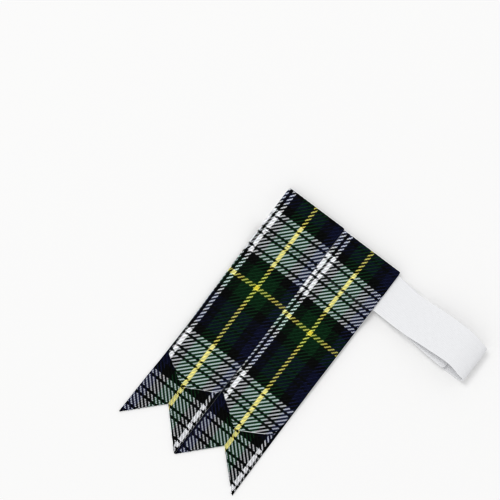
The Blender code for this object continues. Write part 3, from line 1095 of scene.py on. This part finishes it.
def far_fold(below, above):
    """The fold at the far end: x moves out and back with the sine of the turn and z rises with
    its cosine. Y and width go over from those of the ply below to those of the ply above."""
    rise, fall = np.linspace(0, 0.5, RISE_STEPS + 1), np.linspace(0.5, 1, FALL_STEPS + 1)
    turn = np.pi * np.concatenate([rise[1:], fall[1:-1]])
    reach = np.where(turn > np.pi / 2, LOOP_FALL, LOOP_RADIUS)
    x = FOLD_END - reach * (1 - np.sin(turn))
    out = np.clip((x - LOOP_CENTRE) / LOOP_RADIUS, 0, 1)
    share = (1 - np.sign(np.cos(turn)) * np.sqrt(1 - out**2)) / 2
    y, width = (
        (1 - share) * start[-1] + share * stop
        for start, stop in zip(below, garter_line(above, np.minimum(x, LOOP_CENTRE)))
    )
    return [x, y, LOW_PLY + LOOP_RADIUS * (1 - np.cos(turn)), width]


def near_fold(centre, above):
    """The fold at the left: half a circle, straight across."""
    turn = np.pi * np.linspace(0, 1, NEAR_STEPS + 1)[1:-1]
    z = LOW_PLY + GARTER_FOLD * (1 + np.cos(turn))
    y, width = (part[-1] + 0 * turn for part in above)
    return [centre - GARTER_FOLD * np.sin(turn), y, z, width]


def garter_rows():
    """X, Y, Z and width of the strip's middle line from end to end, and how near each row is to
    an end: 1 at the outer end, -1 at the inner end, 0 elsewhere."""
    left = -GARTER_PEEP + GARTER_CLOTH / 2 + GARTER_FOLD
    zone = 2 * END_CORNER
    last_zone = INNER_END - zone
    outer_x = paces(OUTER_END, 8, OUTER_END + zone, 40, LOOP_CENTRE)
    upper_x = paces(FALL_START, 50, FREE_START, 36, left)
    inner_x = paces(left, 40, RISE_END - OVERLAP_RISE, 16, RISE_END, 26, last_zone, 8, INNER_END)
    outer, upper = garter_line(LOWER_RUN, outer_x), garter_line(UPPER_RUN, upper_x)
    inner_y, inner_width = garter_line(LOWER_RUN, inner_x)
    parts = [
        [outer_x, outer[0], LOW_PLY + 0 * outer_x, outer[1]],
        far_fold(outer, UPPER_RUN),
        [upper_x, upper[0], upper_height(upper_x), upper[1]],
        near_fold(left, upper),
        [inner_x, inner_y, lower_height(inner_x), inner_width],
    ]
    line = np.concatenate([np.stack(part) for part in parts], axis=1)
    nearness = np.zeros(line.shape[1])
    nearness[: len(outer_x)] = np.clip(1 - (outer_x - OUTER_END) / zone, 0, 1)
    nearness[-len(inner_x) :] = -np.clip(1 - (INNER_END - inner_x) / zone, 0, 1)
    return line, nearness


# %% Garter surface
RIBS = 21
RIB_COLUMNS = 4
RIB_HEIGHT = 0.00005
CORNER_COLUMNS = np.array([0.02, 0.09, 0.2])
PLAIN_EDGE = 0.0012
RIBS_FROM = 0.4
ELASTIC_HALF = 0.00053
ELASTIC_RIM = 0.0001
EDGE_HALF = 0.55
EDGE_STEEPNESS = 3
END_HALF = 0.7


def garter_grid():
    """The strip's middle grid: each row of the route spread over its width along Y, with the
    corners of both ends rounded by a quarter circle. Also the shares across and the way along."""
    (x, y, z, width), nearness = garter_rows()
    ribbed = np.linspace(-0.5, 0.5, RIB_COLUMNS * RIBS + 1)
    extra = 0.5 - CORNER_COLUMNS * END_CORNER / GARTER_WIDTH
    across = np.unique(np.concatenate([ribbed, extra, -extra]))[None, :]
    inset = np.clip(END_CORNER - (0.5 - abs(across)) * GARTER_WIDTH, 0, END_CORNER)
    rounding = END_CORNER - np.sqrt(END_CORNER**2 - inset**2)
    grid_x = x[:, None] + nearness[:, None] * rounding
    grid_y = y[:, None] + across * width[:, None]
    grid = np.stack([grid_x, grid_y, z[:, None] + 0 * across], axis=-1)
    steps = np.linalg.norm(np.diff([x, y, z]), axis=0)
    return grid, across, np.concatenate([[0], np.cumsum(steps)])


def make_garter(material):
    """The garter, and the real length of its elastic."""
    grid, across, along = garter_grid()
    edge = np.minimum((0.5 - abs(across)) * GARTER_WIDTH, PLAIN_EDGE) / PLAIN_EDGE
    side_round = np.sqrt(np.clip(1 - (1 - np.clip(EDGE_STEEPNESS * edge, 0, 1)) ** 2, 0, 1))
    half = ELASTIC_HALF * (EDGE_HALF + (1 - EDGE_HALF) * side_round) + 0 * along[:, None]
    half[[0, -1]] *= END_HALF
    ribs = RIB_HEIGHT * np.cos(2 * np.pi * RIBS * across) * eased(RIBS_FROM, 1, edge)
    lift = ribs + 0 * along[:, None]
    obj, corner_row, corner_column, _ = cloth_mesh(
        "garter_elastic", grid, half, lift, ELASTIC_RIM, [material]
    )
    ways = np.broadcast_arrays(1000 * across * GARTER_WIDTH, 1000 * along[:, None])
    add_map(obj, "weave", np.stack(ways, axis=-1)[corner_row, corner_column])
    print(obj.name, "-", len(obj.data.polygons), "faces,", round(1000 * along[-1], 1), "mm long")
    return obj, float(along[-1])


# %% [markdown]
# ## White elastic
#
# The elastic's UV map counts millimetres, across and along. Covered rubber cords make the ribs,
# and short slanting stitches of yarn cross them, one row each 0.8 mm. Both are drawn as a bump
# from the same two numbers. The selvedge along both sides has no ribs.

# %% Elastic material
PICKS_PER_MM = 1.25
PICK_LEAN = 1.1
RIB_SHARE = (0.65, 1.0)
SELVEDGE_MM = 0.9
ELASTIC_WHITE = (0.812, 0.815, 0.830)
GROOVE_SHADE = 0.09
LINT = dict(scale=0.35, detail=6)
LINT_LIGHT = (0.86, 0.92)
LINT_ROUGHNESS = (0.62, 0.72)


def elastic(name):
    """Ribs times slanting picks for the bump, and painted shade in the grooves, where the height is
    low.
    """
    material, shader = blank(name)
    place, across, along = counted(material.node_tree, "weave")
    in_rib = maths("PINGPONG", across * (RIBS / (1000 * GARTER_WIDTH)), 0.5)
    pick_side = maths("FRACT", along * PICKS_PER_MM + in_rib * PICK_LEAN) * 2 - 1
    pick_round = maths("SQRT", ROUND_LIMIT - pick_side * pick_side)
    rib_round = maths("SINE", in_rib * float(2 * np.pi))
    inside = maths("LESS_THAN", maths("ABSOLUTE", across), 1000 * GARTER_WIDTH / 2 - SELVEDGE_MM)
    height = choose(inside, pick_round, pick_round * choose(rib_round, *RIB_SHARE))
    relief(shader, height, strength=0.35, depth=0.0001)
    lint = noise(place, **LINT)
    # Painted shade: the white is drawn darker where the height is low, in the grooves
    shade = height * GROOVE_SHADE + choose(lint, *LINT_LIGHT)
    fit(shader, Base_Color=shaded(ELASTIC_WHITE, shade))
    fit(shader, Roughness=choose(lint, *LINT_ROUGHNESS), Specular_IOR_Level=0.2)
    return material


white_elastic = elastic("White elastic")
garter, garter_length = make_garter(white_elastic)
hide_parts("garter_band")

# %% [markdown]
# ## The fastening pad
#
# The garter's ends overlap on a pad of hook tape. It has a thin woven base and rows of small
# hooks. A hook is a bent strip that is made once as a few points and set out in rows with one
# sum, so all of them together are still only a few thousand faces.

# %% Pad sizes
PAD_CORNER = 0.0015
PAD_CORNER_POINTS = 7
PAD_RINGS = (0, 0.1, 0.9, 1)
PAD_BASE = 0.00045
PAD_BEVEL = 0.00015
PAD_LOW = PAD_MIDDLE - PAD_THICKNESS / 2
HOOK_ROOM = 0.00005
HOOK_HEIGHT = PAD_THICKNESS - PAD_BASE - HOOK_ROOM
HOOK_REACH = 0.75 * HOOK_HEIGHT
HOOK_HALF = 0.00011
HOOK_PATH = np.array([[0, 0], [0.02, 0.55], [0.12, 0.9], [0.34, 1.0], [0.5, 0.72]])
HOOK_COLUMNS = np.arange(-12.9, 13.0, 1.5) / 1000
HOOK_ROWS = np.arange(-7.7, 7.8, 1.4) / 1000
HOOK_STAGGER = 0.0004

# %% Pad surfaces


def pad_plate():
    """The base tape: four rings of a rounded oblong, the middle two a little larger than the
    others, closed below and above."""
    bend = np.linspace(0, np.pi / 2, PAD_CORNER_POINTS)
    arc = np.stack([np.sin(bend), np.cos(bend)], axis=-1) * PAD_CORNER
    quarter = np.array([PAD_LENGTH / 2 - PAD_CORNER, PAD_WIDTH / 2 - PAD_CORNER]) + arc
    outline = np.concatenate(
        [quarter, (quarter * (1, -1))[::-1], quarter * (-1, -1), (quarter * (-1, 1))[::-1]]
    )
    count = len(outline)
    inset = outline * (1 - PAD_BEVEL / np.linalg.norm(outline, axis=1, keepdims=True))
    heights = [PAD_LOW + share * PAD_BASE for share in PAD_RINGS]
    rings = zip((inset, outline, outline, inset), heights)
    points = [np.column_stack([ring, np.full(count, height)]) for ring, height in rings]
    walls, caps = tube_faces(count, len(points))
    return np.concatenate(points), walls[:, ::-1].tolist() + caps[:, ::-1].tolist()


def pad_hooks():
    """Rows of hooks, every other row set aside a little and turned round. A hook is a small
    square carried up a path and over, which HOOK_PATH gives in shares of its reach and height."""
    path = HOOK_PATH * (HOOK_REACH, HOOK_HEIGHT)
    square = np.array([[-1, -1], [1, -1], [1, 1], [-1, 1]]) * HOOK_HALF
    hook = np.zeros((len(path), 4, 3))
    hook[:, :, 0::2] = path[:, None]
    hook[:, :, :2] += square
    hook = hook.reshape(-1, 3)
    x, y = np.meshgrid(HOOK_COLUMNS, HOOK_ROWS)
    odd = np.arange(len(x))[:, None] % 2 + 0 * x
    spots = np.stack([x + HOOK_STAGGER * odd, y, 0 * x + PAD_LOW + PAD_BASE], axis=-1)
    flip = np.stack([2 * odd - 1, 2 * odd - 1, 1 + 0 * odd], axis=-1)
    points = spots.reshape(-1, 1, 3) + hook * flip.reshape(-1, 1, 3)
    faces = np.concatenate(tube_faces(4, len(path)))
    starts = len(hook) * np.arange(x.size)[:, None, None]
    return points.reshape(-1, 3), (starts + faces).reshape(-1, 4).tolist()


# %% Make the pad


def make_pad(material):
    """The base tape and its hooks, turned to follow the garter."""
    middle_x = (INNER_END + OUTER_END) / 2
    span = middle_x + np.array([-0.5, 0, 0.5]) * PAD_LENGTH
    near_y, middle_y, far_y = garter_line(LOWER_RUN, span)[0]
    turn = np.arctan2(far_y - near_y, PAD_LENGTH)
    points, faces = joined(pad_plate(), pad_hooks())
    x, y, z = points.T
    turned_x = middle_x + np.cos(turn) * x - np.sin(turn) * y
    turned_y = middle_y + np.sin(turn) * x + np.cos(turn) * y
    points = np.column_stack([turned_x, turned_y, z])
    obj = make_piece("hook_tape_pad", points, faces, [material], smooth=False)
    print(obj.name, "-", len(HOOK_COLUMNS) * len(HOOK_ROWS), "hooks,", len(faces), "faces")
    return obj


def hook_tape(name):
    """White nylon with a fine woven bump, and painted shade in the weave's hollows."""
    dark, light = (0.66, 0.67, 0.69), (0.82, 0.83, 0.85)
    material, shader = fine_lines(name, "X", dark, light, strength=0.3, depth=0.0001)
    fit(shader, Roughness=0.5)
    return material


pad = make_pad(hook_tape("White hook tape"))
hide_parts("fastening_pad")

tab_length = FRONT_LENGTH + BACK_LENGTH + np.pi * TAB_FOLD - 2 * (TAB_FOLD + TAB_CLOTH / 2)
print("A tab's flat size, mm:", round(1000 * TAB_WIDTH, 1), "x", round(1000 * tab_length, 1))

# %% [markdown]
# ## Table, light and camera
#
# The photograph shows the flash from straight above, turned by 37 degrees, in soft light and on
# plain white with no shadow. A long lens keeps the far parts as large as the near ones. The table
# is a plain pale sheet that gives back some light of its own, so that shadows stay faint. The
# softbox stands far off, above and a little left of the picture, so that the table is lit evenly.
# A pixel filter narrower than Blender's own keeps single threads crisp.

# %% Table
TABLE_SIZE = 6.0
TABLE_TOP = -0.00004
ends = (-TABLE_SIZE / 2, TABLE_SIZE / 2)
corners = [(ends[i], ends[j], TABLE_TOP) for i, j in ((0, 0), (1, 0), (1, 1), (0, 1))]
table_mesh = bpy.data.meshes.new("table")
table_mesh.from_pydata(corners, [], [(0, 1, 2, 3)])
table_top = placed("table", table_mesh)
pale, shader = blank("Pale table")
fit(shader, Base_Color=(0.868, 0.864, 0.858), Roughness=1.0, Specular_IOR_Level=0.0)
fit(shader, Emission_Color=(1, 1, 1), Emission_Strength=0.02)
table_mesh.materials.append(pale)

# %% Light
world = bpy.data.worlds.new("Studio")
world.use_nodes = True
fit(world.node_tree.nodes["Background"], Color=(0.936, 0.940, 0.945), Strength=0.86)
bpy.context.scene.world = world
bpy.context.scene.view_settings.view_transform = "Standard"


def soft_light(name, place, size, power):
    """A square lamp that faces the middle of the flash."""
    lamp = bpy.data.lights.new(name, "AREA")
    lamp.size, lamp.energy = size, power
    obj = placed(name, lamp)
    obj.location = place
    obj.rotation_euler = (-Vector(place)).to_track_quat("-Z", "Y").to_euler()


soft_light("Main softbox", place=(-4.8, 2.4, 8.8), size=4.0, power=352)

# %% Camera
PHOTO_WIDTH = 0.295
PHOTO_MIDDLE = (-0.0711, 0.0396)
LENS = 300
SENSOR = 36
TURN = np.radians(36.91)
camera_data = bpy.data.cameras.new("Camera")
camera_data.lens = LENS
camera_data.sensor_width = SENSOR
camera_data.clip_end = 50
camera = placed("Camera", camera_data)
camera.location = (*PHOTO_MIDDLE, PHOTO_WIDTH * LENS / SENSOR)
camera.rotation_euler = (0, 0, float(TURN))
bpy.context.scene.camera = camera
bpy.context.scene.cycles.filter_width = 1.1
